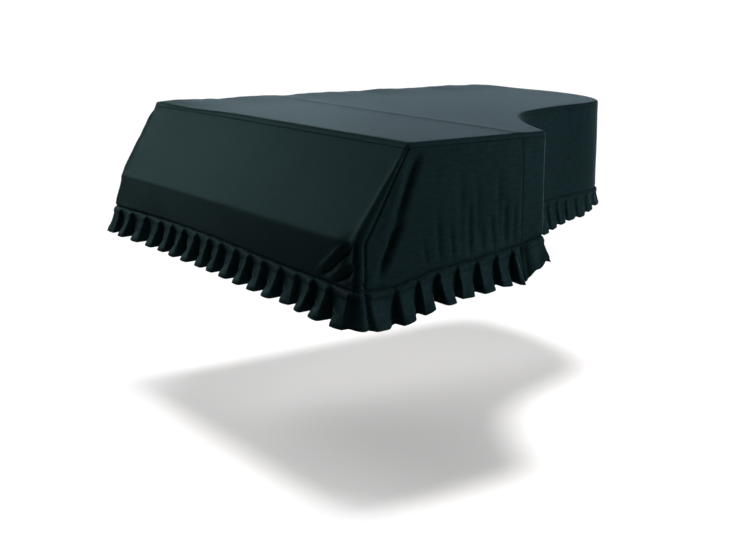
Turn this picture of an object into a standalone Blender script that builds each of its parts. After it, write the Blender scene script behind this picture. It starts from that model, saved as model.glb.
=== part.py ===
"""Fitted cloth cover for a grand piano, hollow, as it hangs on the piano.

Every piece of cloth is a thin sheet: two top panels, four side panels and a
gathered frill under each side panel. The piano itself isn't here.

Frame: +X is the treble side, +Y runs from the keyboard to the tail, +Z is up.
The origin is on the underside of the top, above the middle of the lid.
"""
import math
from collections import namedtuple

import bmesh
import bpy
from mathutils import Vector

# Cloth
SHEET = 0.002             # thickness of the cloth with its backing
SEAM_GAP = 0.0003         # space between two sewn pieces
LIP_GAP = 0.0005          # the same under the rolled edge of the top, which leans a little
CREST = SHEET / 2         # height of the middle of the cloth over the lid

# Piano under the cover
HALF_WIDTH = 0.745
LID_FRONT = -0.66         # y of the lid's front edge
TAIL_Y = 1.505            # distances from here on run back from the lid's front edge
LID_CORNER = 0.008        # radius of the lid's front corners
SIDE_SEAM_Y = 0.41        # seam between the treble panel and the tail panel
SPINE_SEAM_Y = 1.36       # seam between the tail panel and the spine panel
CROSS_SEAM_LEFT = 0.465   # the cross seam of the top runs a little askew
CROSS_SEAM_RIGHT = 0.405

# Rolled edge of the top, down to the seam that joins it to the sides
ROLL_RADIUS = 0.010
ROLL_STEPS = 2
LIP_DEPTH = 0.014

# Front: a slope over the key lid, then an upright band
SLOPE_REACH = 0.169       # how far the slope comes forward
SLOPE_DEPTH = 0.256       # depth of the bend under the lid
CORNER_RADIUS = 0.022     # front corners at the bend and below
CORNER_WRAP = 0.010       # how far the front cloth runs on past each corner
CORNER_PUFF = 0.007       # soft roll that stands proud along each front corner
PUFF_WIDTH = 0.020

# The front and the straight sides share their rows, so that they meet along the corner seams
PANEL_ROWS = 9
BEND_ROW = 6
TAIL_ROWS = 3

# Columns stand closer together towards the front corners
SIDE_CROWDING = 1.7
FRONT_CROWDING = 2.2

# Unevenness of the cloth on the lid
SPINE_RISE = 0.0035       # it stands off a little along the spine side
SPINE_RIPPLE = 0.0015
SPINE_RIPPLE_TURN = 21.0  # radians for each metre along the spine
SPINE_BAND = (0.45, 0.75)  # from where, across the lid, to where it is fully raised
CORNER_DROOP = 0.006      # it sinks over the rounded left front corner
CORNER_DROOP_BAND = (0.10, 0.70)
CORNER_DROOP_DEPTH = 0.10
SEAM_RIDGE = 0.001        # the cross seam stands proud
SEAM_RIDGE_WIDTH = 0.03

# Where folds fade out, as shares of a panel or of the fold
FOLD_RUN = 0.675          # of a fold's length, to either side of its middle
SIDE_EDGES = 0.06         # of a straight side, beside its two seams
SIDE_TOP = 0.10           # of its height, under the rolled edge
SIDE_FOOT = 0.15          # of its height, above the frill
SIDE_FOOT_KEPT = 0.3      # of a fold's height that is left at the frill
FRONT_TOP = 0.25
FRONT_FOOT = 0.20

# Frill
UPRIGHT_START = 0.05      # first part of the frill hangs straight from its seam
FLAT_END = 0.006          # each strip is flat this far from its end seams
STEEP_FLANK = 0.3         # share of a second wave that makes the far flank of each fold steeper
QUICK_OPENING = 0.6       # power by which folds open out below the seam
WIDTH_DRIFT = 23.0        # radians by which even folds change their width along a strip
HEM_SCALLOP = 0.03        # share of the drop by which the hem rises at each ridge
FRILL_LEVELS = {3: (0.0, UPRIGHT_START, 1.0), 4: (0.0, UPRIGHT_START, 0.5, 1.0)}

CLOTH_COLOUR = (0.012, 0.019, 0.020, 1.0)
CLOTH_ROUGHNESS = 0.9

# Outline of the lid, from the middle of the tail round the spine, the front and
# the treble side back to the tail. heading is the way that the edge runs there,
# in degrees from +X, and steps is the number of edges to the next row.
Turn = namedtuple("Turn", "x y heading steps")
OUTLINE = (
    Turn(-HALF_WIDTH, SPINE_SEAM_Y, 270, 9),
    Turn(-HALF_WIDTH, CROSS_SEAM_LEFT, 270, 4),
    Turn(-HALF_WIDTH, LID_CORNER, 270, 3),
    Turn(-HALF_WIDTH + LID_CORNER, 0.0, 0, 12),
    Turn(HALF_WIDTH - LID_CORNER, 0.0, 0, 3),
    Turn(HALF_WIDTH, LID_CORNER, 90, 4),
    Turn(HALF_WIDTH, CROSS_SEAM_RIGHT, 90, 1),
    Turn(HALF_WIDTH, SIDE_SEAM_Y, 90, 2),
    Turn(HALF_WIDTH, 0.488, 90, 3),
    Turn(0.736, 0.504, 152, 4),
    Turn(0.430, 0.682, 143, 6),
    Turn(0.262, 0.890, 112, 4),
    Turn(0.190, 1.150, 97, 6),
    Turn(0.084, 1.380, 140, 5),
    Turn(-0.250, TAIL_Y - 0.003, 175, 3),
    Turn(-0.665, TAIL_Y, 180, 5),
    Turn(-HALF_WIDTH, TAIL_Y - 0.080, 270, 1),
    Turn(-HALF_WIDTH, SPINE_SEAM_Y, 270, 0),
)

# Rows of OUTLINE where the seams are
CROSS_SEAM_LEFT_ROW = 1
CROSS_SEAM_RIGHT_ROW = 6
SIDE_SEAM_ROW = 7
LAST_ROW = len(OUTLINE) - 1

# Lines that divide the flat part of each top panel, and columns of the side panels
TOP_CUTS_ACROSS = (-0.66, -0.50, -0.25, 0.00, 0.25, 0.50)
TOP_FRONT_CUTS = (0.06, 0.16, 0.30)
TOP_REAR_CUTS = (0.50, 0.66, 0.86, 1.08, 1.30)
FRONT_COLUMNS = 30
TREBLE_COLUMNS = 20
SPINE_COLUMNS = 18

# Depth of the frill seam under the lid, drop of the frill below that seam, and how
# far the frill's middle stands out at its hem. along is x on the front, y on the
# treble side and the spine, and the part of the way round on the tail panel.
Hang = namedtuple("Hang", "along seam drop flare")
FRONT_HANG = (
    Hang(-HALF_WIDTH, 0.365, 0.088, 0.024),
    Hang(-0.2, 0.366, 0.094, 0.024),
    Hang(0.5, 0.380, 0.092, 0.024),
    Hang(HALF_WIDTH, 0.385, 0.100, 0.022),
)
TREBLE_HANG = (
    Hang(-0.14, 0.386, 0.102, 0.022),
    Hang(-0.05, 0.387, 0.101, 0.022),
    Hang(0.02, 0.373, 0.100, 0.022),
    Hang(0.10, 0.358, 0.090, 0.022),
    Hang(0.20, 0.349, 0.092, 0.022),
    Hang(0.33, 0.334, 0.094, 0.022),
    Hang(SIDE_SEAM_Y, 0.325, 0.112, 0.024),
)
TAIL_HANG = (
    Hang(0.00, 0.325, 0.112, 0.024),
    Hang(0.06, 0.311, 0.086, 0.034),
    Hang(0.22, 0.320, 0.108, 0.022),
    Hang(0.38, 0.326, 0.115, 0.022),
    Hang(0.50, 0.325, 0.082, 0.016),
    Hang(0.60, 0.324, 0.060, 0.008),
    Hang(0.80, 0.322, 0.092, 0.020),
    Hang(1.00, 0.322, 0.098, 0.022),
)
SPINE_HANG = (
    Hang(-0.14, 0.367, 0.089, 0.024),
    Hang(0.05, 0.362, 0.094, 0.022),
    Hang(0.30, 0.334, 0.098, 0.022),
    Hang(0.50, 0.322, 0.098, 0.022),
    Hang(SPINE_SEAM_Y, 0.322, 0.098, 0.022),
)

# Folds of a side panel: a trough (minus) or ridge (plus) along a straight line
# from its top to its foot. across is y on the sides and x on the front.
Fold = namedtuple("Fold", "top_across top_depth foot_across foot_depth width height")
TREBLE_FOLDS = (
    Fold(0.040, 0.040, -0.030, 0.235, 0.030, -0.016),
    Fold(-0.030, 0.215, -0.100, 0.350, 0.026, -0.013),
    Fold(-0.020, 0.100, -0.085, 0.270, 0.026, 0.007),
    Fold(0.218, 0.190, 0.222, 0.345, 0.022, -0.005),
    Fold(0.300, 0.240, 0.310, 0.330, 0.018, -0.004),
    Fold(0.352, 0.200, 0.350, 0.325, 0.018, -0.005),
)
FRONT_FOLDS = (
    Fold(0.710, 0.262, 0.585, 0.365, 0.020, -0.006),
    Fold(0.738, 0.300, 0.625, 0.372, 0.018, -0.006),
)
SPINE_FOLDS = (
    Fold(0.030, 0.080, -0.060, 0.300, 0.030, -0.010),
    Fold(0.620, 0.160, 0.640, 0.310, 0.030, -0.004),
    Fold(1.050, 0.120, 1.060, 0.310, 0.030, -0.004),
)

# How far the cloth stands off the left front corner, by the depth under the lid
Loose = namedtuple("Loose", "depth out")
LOOSE_CORNER = (
    Loose(0.000, 0.027),
    Loose(0.030, 0.020),
    Loose(0.120, 0.015),
    Loose(0.256, 0.009),
    Loose(0.370, 0.030),
)
LOOSE_SPREAD = 0.40
LOOSE_WAY = Vector((-1.0, -0.8))

# Folds of the frill where it shows most: where each ridge is along its strip, as in
# the Hang tables, and half its depth at the hem
Ridge = namedtuple("Ridge", "along half_depth")
FRONT_RIDGES = (
    Ridge(-0.703, 0.007),
    Ridge(-0.625, 0.018),
    Ridge(-0.535, 0.016),
    Ridge(-0.441, 0.018),
    Ridge(-0.357, 0.016),
    Ridge(-0.272, 0.020),
    Ridge(-0.181, 0.019),
    Ridge(-0.091, 0.016),
    Ridge(-0.015, 0.015),
    Ridge(0.081, 0.018),
    Ridge(0.166, 0.019),
    Ridge(0.249, 0.016),
    Ridge(0.345, 0.019),
    Ridge(0.434, 0.007),
    Ridge(0.519, 0.020),
    Ridge(0.601, 0.022),
    Ridge(0.700, 0.008),
)
TREBLE_RIDGES = (
    Ridge(-0.118, 0.008),
    Ridge(-0.021, 0.015),
    Ridge(0.048, 0.010),
    Ridge(0.116, 0.016),
    Ridge(0.186, 0.012),
    Ridge(0.258, 0.010),
    Ridge(0.326, 0.014),
    Ridge(0.385, 0.010),
)


def even_ridges(table, folds, uneven, half_depth):
    """Ridges for the whole length of a Hang table, whose widths differ a little."""
    start = table[0].along
    length = table[-1].along - start
    ridges = []
    for number in range(folds):
        part = (number + 0.5) / folds
        drift = uneven / folds * (math.sin(part * WIDTH_DRIFT) - math.sin(WIDTH_DRIFT) * part)
        ridges.append(Ridge(start + length * (part + drift), half_depth))
    return tuple(ridges)


# The folds of each frill strip, and the column width and number of rows that draw them
Gather = namedtuple("Gather", "ridges column_width rows")
FRONT_GATHER = Gather(FRONT_RIDGES, 0.0135, 4)
TREBLE_GATHER = Gather(TREBLE_RIDGES, 0.0115, 4)
TAIL_GATHER = Gather(even_ridges(TAIL_HANG, 33, 0.25, 0.012), 0.0135, 3)
SPINE_GATHER = Gather(even_ridges(SPINE_HANG, 18, 0.15, 0.013), 0.0165, 3)


def smooth(value):
    """Ease from 0 to 1, flat at both ends."""
    value = min(max(value, 0.0), 1.0)
    return value * value * (3.0 - 2.0 * value)


def read_hang(table, along):
    """Seam depth, frill drop and frill flare at a place between two rows of a table."""
    for low, high in zip(table, table[1:]):
        if along <= high.along:
            break
    part = smooth((along - low.along) / (high.along - low.along))
    return Hang(along, *(start + part * (end - start) for start, end in zip(low[1:], high[1:])))


def heading_vector(degrees):
    return Vector((math.cos(math.radians(degrees)), math.sin(math.radians(degrees))))


def curve_between(start, end, steps):
    """Points of a cubic curve that leaves and arrives on the two headings."""
    first = Vector((start.x, start.y))
    last = Vector((end.x, end.y))
    handle = (last - first).length / 3
    second = first + heading_vector(start.heading) * handle
    third = last - heading_vector(end.heading) * handle
    points = []
    for step in range(steps):
        t = step / steps
        points.append(first * (1 - t) ** 3 + second * 3 * t * (1 - t) ** 2
                      + third * 3 * t ** 2 * (1 - t) + last * t ** 3)
    return points


def outline_from(first_row, last_row):
    """Outline points and their outward normals, from one table row to another."""
    points = []
    for row, following in zip(OUTLINE[first_row:last_row], OUTLINE[first_row + 1:last_row + 1]):
        points += curve_between(row, following, row.steps)
    points.append(Vector((OUTLINE[last_row].x, OUTLINE[last_row].y)))
    rows = [OUTLINE[first_row], OUTLINE[last_row]]
    ends = [heading_vector(row.heading) for row in rows]
    normals = []
    for number in range(len(points)):
        if number == 0:
            along = ends[0]
        elif number == len(points) - 1:
            along = ends[1]
        else:
            along = (points[number + 1] - points[number - 1]).normalized()
        normals.append(Vector((along.y, -along.x)))
    return list(zip(points, normals))


TAIL_TRACK = outline_from(SIDE_SEAM_ROW, LAST_ROW)


def slope_reach(depth):
    """How far the front stands forward of the lid at a depth under it."""
    part = (depth - ROLL_RADIUS) / (SLOPE_DEPTH - ROLL_RADIUS)
    return SLOPE_REACH * min(max(part, 0.0), 1.0)


def corner_growth(depth):
    """0 at the lid and 1 from the bend down: the front corners open out on the way."""
    return smooth((depth - LIP_DEPTH) / (SLOPE_DEPTH - LIP_DEPTH))


def corner_radius(depth):
    return LID_CORNER + corner_growth(depth) * (CORNER_RADIUS - LID_CORNER)


def corner_seam_y(depth):
    """Distance back from the lid's front edge to the corner seams."""
    return corner_radius(depth) + CORNER_WRAP * corner_growth(depth) - slope_reach(depth)


def fold_height(folds, across, depth):
    """Sum of the folds at one place on a side panel."""
    total = 0.0
    for fold in folds:
        part = (depth - fold.top_depth) / (fold.foot_depth - fold.top_depth)
        line = fold.top_across + part * (fold.foot_across - fold.top_across)
        fade = smooth((FOLD_RUN - abs(part - 0.5)) * 2.0)
        total += fold.height * fade * math.exp(-((across - line) / fold.width) ** 2)
    return total


def looseness(x, y, depth):
    """How far the cloth stands off the left front corner of the piano, as a plan shift."""
    for low, high in zip(LOOSE_CORNER, LOOSE_CORNER[1:]):
        if depth <= high.depth:
            break
    part = min(max((depth - low.depth) / (high.depth - low.depth), 0.0), 1.0)
    out = low.out + (high.out - low.out) * smooth(part)
    away = math.hypot(x + HALF_WIDTH, y + slope_reach(depth))
    return LOOSE_WAY * out * smooth(1.0 - away / LOOSE_SPREAD)


def place_on_lid(point, depth):
    """World position of a plan point, given back from the lid's front edge."""
    point = Vector(point) + looseness(point[0], point[1], depth)
    return Vector((point.x, point.y + LID_FRONT, CREST - depth))


def front_section(distance, depth):
    """Plan point and normal on the front cloth, by the distance from its middle."""
    side = math.copysign(1.0, distance)
    radius = corner_radius(depth)
    straight = HALF_WIDTH - radius
    over = abs(distance) - straight
    front = -slope_reach(depth)
    if over <= 0:
        return Vector((distance, front)), Vector((0.0, -1.0))
    turn = over / radius
    if turn < math.pi / 2:
        normal = Vector((side * math.sin(turn), -math.cos(turn)))
        centre = Vector((side * straight, front + radius))
        return centre + normal * radius, normal
    past = over - radius * math.pi / 2
    return Vector((side * HALF_WIDTH, front + radius + past)), Vector((side, 0.0))


def row_depth(part, foot):
    """Depth of a row of cloth, with one row on the bend of the front."""
    top = LIP_DEPTH + LIP_GAP
    bend_part = BEND_ROW / PANEL_ROWS
    if part < bend_part:
        return top + (SLOPE_DEPTH - top) * part / bend_part
    return SLOPE_DEPTH + (foot - SLOPE_DEPTH) * (part - bend_part) / (1 - bend_part)


def crowd_corners(across):
    """Columns from -1 to 1 that stand closer together at both front corners."""
    value = across * 2 - 1
    return math.copysign(1 - (1 - abs(value)) ** FRONT_CROWDING, value)


def front_point(across, part):
    """Front panel: across runs from 0 at the left to 1, part from 0 at the lid to 1 at the frill."""
    across = crowd_corners(across)
    x_here = across * HALF_WIDTH
    foot = read_hang(FRONT_HANG, x_here).seam
    depth = row_depth(part, foot)
    radius = corner_radius(depth)
    half = HALF_WIDTH - radius + radius * math.pi / 2 + CORNER_WRAP * corner_growth(depth) - SEAM_GAP / 2
    distance = across * half
    point, normal = front_section(distance, depth)
    roll_middle = HALF_WIDTH - radius + radius * math.pi / 4
    roll = math.exp(-((abs(distance) - roll_middle) / PUFF_WIDTH) ** 2)
    ends = smooth(part / FRONT_TOP) * smooth((1 - part) / FRONT_FOOT)
    outward = CORNER_PUFF * roll * ends + fold_height(FRONT_FOLDS, point.x, depth) * ends
    return place_on_lid(point + normal * outward, depth)


def side_point(side, y_back, folds, hang, across, part):
    """A straight side panel between its corner seam and the seam at y_back."""
    corner = corner_seam_y(hang[0].seam)
    foot = read_hang(hang, corner + across ** SIDE_CROWDING * (y_back - corner)).seam
    depth = row_depth(part, foot)
    y_front = corner_seam_y(depth) + SEAM_GAP / 2
    y = y_front + across ** SIDE_CROWDING * (y_back - SEAM_GAP / 2 - y_front)
    edges = smooth(across / SIDE_EDGES) * smooth((1 - across) / SIDE_EDGES) * smooth(part / SIDE_TOP)
    kept = SIDE_FOOT_KEPT + (1 - SIDE_FOOT_KEPT) * smooth((1 - part) / SIDE_FOOT)
    outward = fold_height(folds, y, depth) * edges * kept
    return place_on_lid((side * (HALF_WIDTH + outward), y), depth)


def treble_point(across, part):
    return side_point(1, SIDE_SEAM_Y, TREBLE_FOLDS, TREBLE_HANG, across, part)


def spine_point(across, part):
    return side_point(-1, SPINE_SEAM_Y, SPINE_FOLDS, SPINE_HANG, across, part)


def tail_point(across, part):
    """Tail panel: across runs from the treble side seam round to the spine seam."""
    point = TAIL_TRACK[round(across * (len(TAIL_TRACK) - 1))][0]
    if across in (0, 1):
        point = point + Vector((0.0, SEAM_GAP / 2))
    foot = read_hang(TAIL_HANG, across).seam
    top = LIP_DEPTH + SEAM_GAP
    return place_on_lid(point, top + (foot - top) * part)


def top_rise(x, y):
    """Gentle unevenness of the cloth on the lid: y is back from the lid's front edge."""
    seam_y = CROSS_SEAM_LEFT + (CROSS_SEAM_RIGHT - CROSS_SEAM_LEFT) * (x / HALF_WIDTH + 1) / 2
    spine_side = smooth((-x - SPINE_BAND[0]) / (SPINE_BAND[1] - SPINE_BAND[0]))
    rise = (SPINE_RISE + SPINE_RIPPLE * math.sin(y * SPINE_RIPPLE_TURN)) * spine_side
    corner_side = smooth((-x - CORNER_DROOP_BAND[0]) / (CORNER_DROOP_BAND[1] - CORNER_DROOP_BAND[0]))
    droop = CORNER_DROOP * corner_side * smooth((CORNER_DROOP_DEPTH - y) / CORNER_DROOP_DEPTH)
    ridge = SEAM_RIDGE * math.exp(-((y - seam_y) / SEAM_RIDGE_WIDTH) ** 2)
    return rise - droop + ridge


def make_cloth(name, mesh_source, material):
    """Turn an open sheet into a piece of cloth of even thickness."""
    mesh = bpy.data.meshes.new(name)
    mesh_source.to_mesh(mesh)
    mesh_source.free()
    mesh.materials.append(material)
    piece = bpy.data.objects.new(name, mesh)
    bpy.context.scene.collection.objects.link(piece)
    thick = piece.modifiers.new("cloth thickness", "SOLIDIFY")
    thick.thickness = SHEET
    thick.offset = 0.0
    mesh.shade_smooth()
    return piece


def hang_panel(name, columns, rows, point_at, material):
    """A panel from a grid, each point put where point_at says. Returns its lower edge."""
    sheet = bmesh.new()
    bmesh.ops.create_grid(sheet, x_segments=columns, y_segments=rows, size=0.5)
    for vert in sheet.verts:
        column = round((vert.co.x + 0.5) * columns)
        row = round((0.5 - vert.co.y) * rows)
        vert.co = point_at(column / columns, row / rows)
    make_cloth(name, sheet, material)
    return [point_at(column / columns, 1.0) for column in range(columns + 1)]


def lip_rings():
    """Inset and depth of each ring of the rolled edge, from the flat top down."""
    rings = []
    for step in range(1, ROLL_STEPS + 1):
        turn = math.pi / 2 * step / ROLL_STEPS
        rings.append((ROLL_RADIUS * (1 - math.sin(turn)), ROLL_RADIUS * (1 - math.cos(turn))))
    rings.append((0.0, LIP_DEPTH))
    return rings


def lies_between(edge, first, last):
    """Whether an edge lies on the straight line of the cross seam."""
    along = (last - first).normalized()
    for vert in edge.verts:
        if ((vert.co - first) - along * (vert.co - first).dot(along)).length > 1e-4:
            return False
    return True


def outward_at(track, place):
    """Outward normal of a track beside a point of its inset edge."""
    best = None
    for (first, first_normal), (second, second_normal) in zip(track, track[1:]):
        start = first - first_normal * ROLL_RADIUS
        step = second - second_normal * ROLL_RADIUS - start
        part = min(max((place.xy - start).dot(step) / max(step.length_squared, 1e-12), 0.0), 1.0)
        distance = (place.xy - start - step * part).length
        if best is None or distance < best[0]:
            best = (distance, first_normal.lerp(second_normal, part).normalized())
    return best[1]


def top_panel(name, track, cuts_x, cuts_y, material):
    """A top panel: its flat part, cut into a grid, with a rolled edge on its track."""
    sheet = bmesh.new()
    flat = [sheet.verts.new((*(point - normal * ROLL_RADIUS), 0.0)) for point, normal in track]
    sheet.faces.new(flat)
    for axis, cuts in ((0, cuts_x), (1, cuts_y)):
        for cut in cuts:
            where = Vector((0.0, 0.0, 0.0))
            where[axis] = cut
            facing = Vector((0.0, 0.0, 0.0))
            facing[axis] = 1.0
            everything = list(sheet.verts) + list(sheet.edges) + list(sheet.faces)
            bmesh.ops.bisect_plane(sheet, geom=everything, plane_co=where, plane_no=facing, dist=1e-5)
    bmesh.ops.triangulate(sheet, faces=sheet.faces)
    ends = (flat[0].co.copy(), flat[-1].co.copy())
    rim = [edge for edge in sheet.edges if edge.is_boundary and not lies_between(edge, *ends)]
    outward = {}
    for edge in rim:
        for vert in edge.verts:
            outward[vert] = outward_at(track, vert.co)
    start = {vert: vert.co.copy() for vert in outward}
    bottom = dict((vert, vert) for vert in outward)
    for inset, depth in lip_rings():
        below = {}
        for vert in outward:
            point = start[vert].xy + outward[vert] * (ROLL_RADIUS - inset)
            if outward[vert].y < -0.01:
                point.y -= slope_reach(depth)
            below[vert] = sheet.verts.new((*point, -depth))
        for edge in rim:
            first, second = edge.verts
            sheet.faces.new((bottom[first], bottom[second], below[second], below[first]))
        bottom = below
    for vert in sheet.verts:
        x, y, z = vert.co
        flatness = 1.0 - min(max(-z / ROLL_RADIUS, 0.0), 1.0)
        vert.co = place_on_lid((x, y), -z - top_rise(x, y) * flatness)
    bmesh.ops.recalc_face_normals(sheet, faces=sheet.faces)
    return make_cloth(name, sheet, material)


def divide_line(line, hangs, spacing):
    """Points along a lower edge, closer than its own, each with its Hang row and its distance."""
    stations = []
    distance = 0.0
    for number, (first, second) in enumerate(zip(line, line[1:])):
        length = (second - first).length
        pieces = max(round(length / spacing), 1)
        for piece in range(pieces):
            part = piece / pieces
            hang = Hang(*(low + part * (high - low) for low, high in zip(hangs[number], hangs[number + 1])))
            stations.append((first.lerp(second, part), hang, distance + part * length))
        distance += length
    stations.append((line[-1], hangs[-1], distance))
    return stations


def read_ridges(ridges, along, first, last):
    """Phase of the folds and half their depth, at a place on a strip from first to last.

    The phase is 0 at the start, a quarter turn past a whole one at each ridge, and
    a whole number of turns at the end.
    """
    whole = 2 * math.pi
    rows = [(first, 0.0, ridges[0].half_depth)]
    for number, ridge in enumerate(ridges):
        rows.append((ridge.along, whole * (number + 0.25), ridge.half_depth))
    rows.append((last, whole * len(ridges), ridges[-1].half_depth))
    for low, high in zip(rows, rows[1:]):
        if along <= high[0]:
            break
    part = min(max((along - low[0]) / (high[0] - low[0]), 0.0), 1.0)
    return low[1] + part * (high[1] - low[1]), low[2] + part * (high[2] - low[2])


def frill_strip(name, line, hangs, gather, material):
    """A gathered strip under a panel's lower edge, with a Hang row for each point of that edge."""
    line = [line[0] + (line[1] - line[0]).normalized() * SEAM_GAP] + line[1:-1] + [
        line[-1] + (line[-2] - line[-1]).normalized() * SEAM_GAP]
    stations = divide_line(line, hangs, gather.column_width)
    last = len(stations) - 1
    total = stations[last][2]
    levels = FRILL_LEVELS[gather.rows]
    sheet = bmesh.new()
    bmesh.ops.create_grid(sheet, x_segments=last, y_segments=len(levels) - 1, size=0.5)
    for vert in sheet.verts:
        column = round((vert.co.x + 0.5) * last)
        level = levels[round((0.5 - vert.co.y) * (len(levels) - 1))]
        point, hang, distance = stations[column]
        along = stations[min(column + 1, last)][0] - stations[max(column - 1, 0)][0]
        normal = Vector((along.y, -along.x, 0.0)).normalized()
        phase, half_depth = read_ridges(gather.ridges, hang.along, hangs[0].along, hangs[-1].along)
        flat = smooth((min(distance, total - distance) - FLAT_END) / FLAT_END)
        wave = flat * (math.sin(phase) - STEEP_FLANK * math.sin(2 * phase))
        opened = max(level - UPRIGHT_START, 0.0) / (1.0 - UPRIGHT_START)
        outward = hang.flare * opened + half_depth * wave * opened ** QUICK_OPENING
        drop = hang.drop * level * (1.0 - HEM_SCALLOP * wave * opened)
        vert.co = point + normal * outward - Vector((0.0, 0.0, SEAM_GAP + drop))
    return make_cloth(name, sheet, material)


for old in list(bpy.data.objects):
    bpy.data.objects.remove(old)

cloth = bpy.data.materials.new("dark green cloth")
cloth.use_nodes = True
shader = cloth.node_tree.nodes["Principled BSDF"]
shader.inputs["Base Color"].default_value = CLOTH_COLOUR
shader.inputs["Roughness"].default_value = CLOTH_ROUGHNESS
shader.inputs["Metallic"].default_value = 0.0

front_track = outline_from(CROSS_SEAM_LEFT_ROW, CROSS_SEAM_RIGHT_ROW)
rear_track = outline_from(CROSS_SEAM_RIGHT_ROW, LAST_ROW)[:-1] + outline_from(0, CROSS_SEAM_LEFT_ROW)
gap_step = Vector((0.0, SEAM_GAP / 2))
for track, push in ((front_track, -gap_step), (rear_track, gap_step)):
    for end in (0, -1):
        track[end] = (track[end][0] + push, track[end][1])
top_panel("top_front", front_track, TOP_CUTS_ACROSS, TOP_FRONT_CUTS, cloth)
top_panel("top_rear", rear_track, TOP_CUTS_ACROSS, TOP_REAR_CUTS, cloth)

front_edge = hang_panel("front_panel", FRONT_COLUMNS, PANEL_ROWS, front_point, cloth)
treble_edge = hang_panel("treble_panel", TREBLE_COLUMNS, PANEL_ROWS, treble_point, cloth)
tail_edge = hang_panel("tail_panel", len(TAIL_TRACK) - 1, TAIL_ROWS, tail_point, cloth)
spine_edge = hang_panel("spine_panel", SPINE_COLUMNS, PANEL_ROWS, spine_point, cloth)[::-1]

front_hangs = [read_hang(FRONT_HANG, point.x) for point in front_edge]
treble_hangs = [read_hang(TREBLE_HANG, point.y - LID_FRONT) for point in treble_edge]
tail_hangs = [read_hang(TAIL_HANG, number / (len(tail_edge) - 1)) for number in range(len(tail_edge))]
spine_hangs = [read_hang(SPINE_HANG, point.y - LID_FRONT) for point in spine_edge]
frill_strip("frill_front", front_edge, front_hangs, FRONT_GATHER, cloth)
frill_strip("frill_treble", treble_edge, treble_hangs, TREBLE_GATHER, cloth)
frill_strip("frill_tail", tail_edge, tail_hangs, TAIL_GATHER, cloth)
frill_strip("frill_spine", spine_edge, spine_hangs, SPINE_GATHER, cloth)
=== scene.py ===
"""Looks of a fitted cloth cover for a grand piano.

The cover is sewn from ten pieces of one black-green cloth: two top panels, four
side panels and a gathered frill under each side panel. Distances called back run
from the front edge of the piano's lid towards its tail, and depths run down from it.
"""
import math
from collections import namedtuple

import bmesh
import bpy
from mathutils import Matrix, Vector, noise


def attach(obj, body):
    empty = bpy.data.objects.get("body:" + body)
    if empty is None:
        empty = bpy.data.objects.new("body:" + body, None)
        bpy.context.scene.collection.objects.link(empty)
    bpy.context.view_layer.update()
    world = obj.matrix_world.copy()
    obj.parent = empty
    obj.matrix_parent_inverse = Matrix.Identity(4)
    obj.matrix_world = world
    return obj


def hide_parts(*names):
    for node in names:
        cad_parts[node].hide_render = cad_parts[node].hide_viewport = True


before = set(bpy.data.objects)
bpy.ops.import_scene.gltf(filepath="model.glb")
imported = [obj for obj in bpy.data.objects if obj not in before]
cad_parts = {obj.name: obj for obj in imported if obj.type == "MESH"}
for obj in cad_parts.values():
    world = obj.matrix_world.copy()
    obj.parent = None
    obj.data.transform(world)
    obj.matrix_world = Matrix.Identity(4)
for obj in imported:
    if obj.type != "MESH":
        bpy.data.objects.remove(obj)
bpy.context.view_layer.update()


# ---- The cloth -------------------------------------------------------------
# One bolt of black-green polyester in a dense plain weave, piece-dyed and matt,
# with a faint bloom where it is seen along the surface. Every piece is cut from it.
THREAD_PITCH = 0.0012          # twice the real spacing, which is too fine to show
SLUB_LENGTH = 0.030            # thicker stretches of thread
SLUB_ASPECT = 3.5              # they are far wider than real ones, so that they show
SLUB_DYE = 0.70                # share of the slubs in the unevenness of the dye
SLUB_RELIEF = 0.75             # and in the relief, where the weave has the rest
FADE_SIZE = 0.35               # soft patches of a slightly different depth of dye
CLOTH_THICKNESS = 0.0009
DYE = "050b0d"
DYE_PALE = "101d1f"
BLOOM = "d1eeff"
LUSTRE = "e7ffff"              # of light that glances off the cloth


def linear(hex_colour):
    """An sRGB hex colour as linear numbers with an alpha of 1."""
    parts = []
    for start in (0, 2, 4):
        value = int(hex_colour[start:start + 2], 16) / 255
        parts.append(value / 12.92 if value <= 0.04045 else ((value + 0.055) / 1.055) ** 2.4)
    return (*parts, 1.0)


def feed(tree, node, inputs, links):
    """Give a node its fixed inputs and the sockets that feed it."""
    for name, value in inputs.items():
        node.inputs[name].default_value = value
    for name, source in links.items():
        tree.links.new(source, node.inputs[name])


def add_node(tree, kind, settings=None, inputs=None, links=None):
    """Add a node as it is set and fed. Sockets go by name, or by number where names repeat."""
    node = tree.nodes.new(kind)
    for name, value in (settings or {}).items():
        setattr(node, name, value)
    feed(tree, node, inputs or {}, links or {})
    return node


def new_material(name):
    """A material with the shader that Blender gives it, and its tree of nodes."""
    material = bpy.data.materials.new(name)
    material.use_nodes = True
    return material, material.node_tree, material.node_tree.nodes["Principled BSDF"]


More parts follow.
